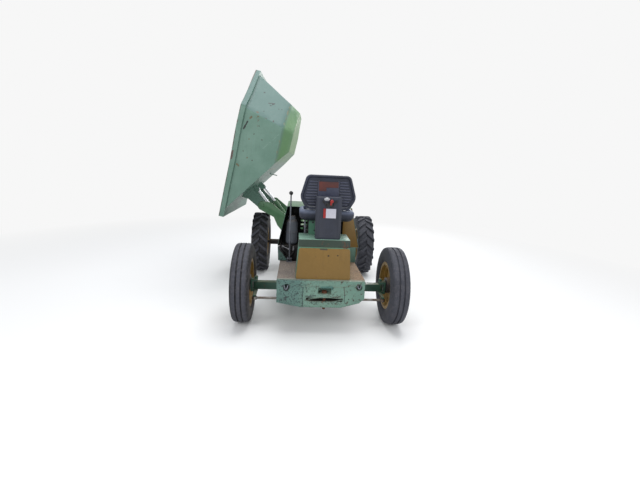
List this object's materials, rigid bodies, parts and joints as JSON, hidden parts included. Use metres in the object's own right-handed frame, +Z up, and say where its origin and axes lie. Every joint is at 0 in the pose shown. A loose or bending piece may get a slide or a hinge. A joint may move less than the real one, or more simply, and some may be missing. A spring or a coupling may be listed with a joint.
{
  "type": "site dumper",
  "caption": "Small site dumper with a swivelling, tipping skip turned to its side and raised, drive wheels under the skip, steered wheels behind the seat.",
  "frame": {"origin": "centre of the bounding box on the ground, as stored with the skip turned to the left and tipped", "axes": "+Y forwards, from the seat to the skip end; +X to the right; +Z up"},
  "size_m": [1.9578, 2.754, 2.538],
  "materials": {
    "skip_green": "weathered",
    "frame_green": "chipped",
    "ochre_paint": "dusty",
    "tyre_rubber": "worn",
    "black_paint": "dusty",
    "bare_steel": "rusty",
    "deck_steel": "rusty and dusty",
    "seat_plastic": "worn",
    "seat_vinyl": "worn",
    "engine_iron": "oily",
    "canister_paint": "dusty",
    "chromed_rod": "polished",
    "black_plastic": "glossy"
  },
  "bodies": {
    "root": {"rear_axle": "frame_green", "front_axle": "black_paint", "axle_saddles": "black_paint", "chassis_frame": "frame_green", "rear_beam": "frame_green", "tow_pin": "bare_steel", "deck": "deck_steel", "seat_box": "frame_green", "seat_box_panel": "ochre_paint", "seat_plinth": "frame_green", "seat_column": "seat_plastic", "seat_shell": "seat_plastic", "seat_cushion": "seat_vinyl", "back_cushion": "seat_vinyl", "seat_stand": "frame_green", "engine_bay_base": "frame_green", "hood": "frame_green", "hood_rear_panel": "ochre_paint", "hood_front_panel": "frame_green", "engine": "engine_iron", "gearbox": "engine_iron", "air_cleaner": "canister_paint", "control_lever": "bare_steel", "lever_knob": "black_plastic", "steering_column": "black_paint", "turntable_ring": "black_paint"},
    "knuckle_left": {"knuckle_left": "black_paint"},
    "knuckle_right": {"knuckle_right": "black_paint"},
    "track_rod": {"track_rod": "bare_steel"},
    "steering_wheel": {"steering_wheel": "black_plastic"},
    "rear_left_wheel": {"rear_left_tyre": "tyre_rubber", "rear_left_rim": "ochre_paint", "rear_left_hub": "black_paint"},
    "rear_right_wheel": {"rear_right_tyre": "tyre_rubber", "rear_right_rim": "ochre_paint", "rear_right_hub": "black_paint"},
    "front_left_wheel": {"front_left_tyre": "tyre_rubber", "front_left_rim": "ochre_paint", "front_left_hub": "black_paint"},
    "front_right_wheel": {"front_right_tyre": "tyre_rubber", "front_right_rim": "ochre_paint", "front_right_hub": "black_paint"},
    "swivel": {"swivel_frame": "frame_green"},
    "skip": {"skip": "skip_green"},
    "ram_barrels": {"ram_barrels": "frame_green"},
    "ram_rods": {"ram_rods": "chromed_rod"}
  },
  "joints": [
    {"name": "steer_left", "type": "hinge", "parent": "root", "child": "knuckle_left", "pos_m": [-0.4213, -1.0095, 0.345], "axis": [0, 0, 1], "range_deg": [-32, 32]},
    {"name": "steer_right", "type": "hinge", "parent": "root", "child": "knuckle_right", "pos_m": [0.7587, -1.0095, 0.345], "axis": [0, 0, 1], "range_deg": [-32, 32]},
    {"name": "track_rod_pivot", "type": "hinge", "parent": "knuckle_left", "child": "track_rod", "pos_m": [-0.4213, -1.1495, 0.268], "axis": [0, 0, 1], "range_deg": [-32, 32]},
    {"name": "steering_wheel_turn", "type": "hinge", "parent": "root", "child": "steering_wheel", "pos_m": [0.2107, -0.5795, 1.25], "axis": [0, -0.5736, 0.8192], "range_deg": [-480, 480]},
    {"name": "rear_left_spin", "type": "hinge", "parent": "knuckle_left", "child": "rear_left_wheel", "pos_m": [-0.5363, -1.0095, 0.3675], "axis": [1, 0, 0], "continuous": true},
    {"name": "rear_right_spin", "type": "hinge", "parent": "knuckle_right", "child": "rear_right_wheel", "pos_m": [0.8737, -1.0095, 0.3675], "axis": [1, 0, 0], "continuous": true},
    {"name": "front_left_spin", "type": "hinge", "parent": "root", "child": "front_left_wheel", "pos_m": [-0.5363, 0.6555, 0.4], "axis": [1, 0, 0], "continuous": true},
    {"name": "front_right_spin", "type": "hinge", "parent": "root", "child": "front_right_wheel", "pos_m": [0.8737, 0.6555, 0.4], "axis": [1, 0, 0], "continuous": true},
    {"name": "skip_swivel", "type": "hinge", "parent": "root", "child": "swivel", "pos_m": [0.1687, 0.6105, 0.55], "axis": [0, 0, 1], "range_deg": [-176.9, 3.1]},
    {"name": "skip_tip", "type": "hinge", "parent": "swivel", "child": "skip", "pos_m": [-0.48035, 0.64565, 0.935], "axis": [-0.0541, -0.9985, 0], "range_deg": [-73.3, 0]},
    {"name": "ram_swing", "type": "hinge", "parent": "swivel", "child": "ram_barrels", "pos_m": [-0.13086, 0.62672, 0.616], "axis": [-0.0541, -0.9985, 0], "range_deg": [-16.5, 0]},
    {"name": "ram_slide", "type": "slide", "parent": "ram_barrels", "child": "ram_rods", "axis": [-0.6258, 0.0339, 0.7792], "range_m": [-0.189, 0]}
  ],
  "couplings": [
    {"joint": "steer_right", "follows": "steer_left", "ratio": 1},
    {"joint": "track_rod_pivot", "follows": "steer_left", "ratio": -1},
    {"joint": "steering_wheel_turn", "follows": "steer_left", "ratio": -15},
    {"joint": "ram_swing", "follows": "skip_tip", "ratio": 0.2246},
    {"joint": "ram_slide", "follows": "skip_tip", "m_per_rad": 0.14755}
  ]
}
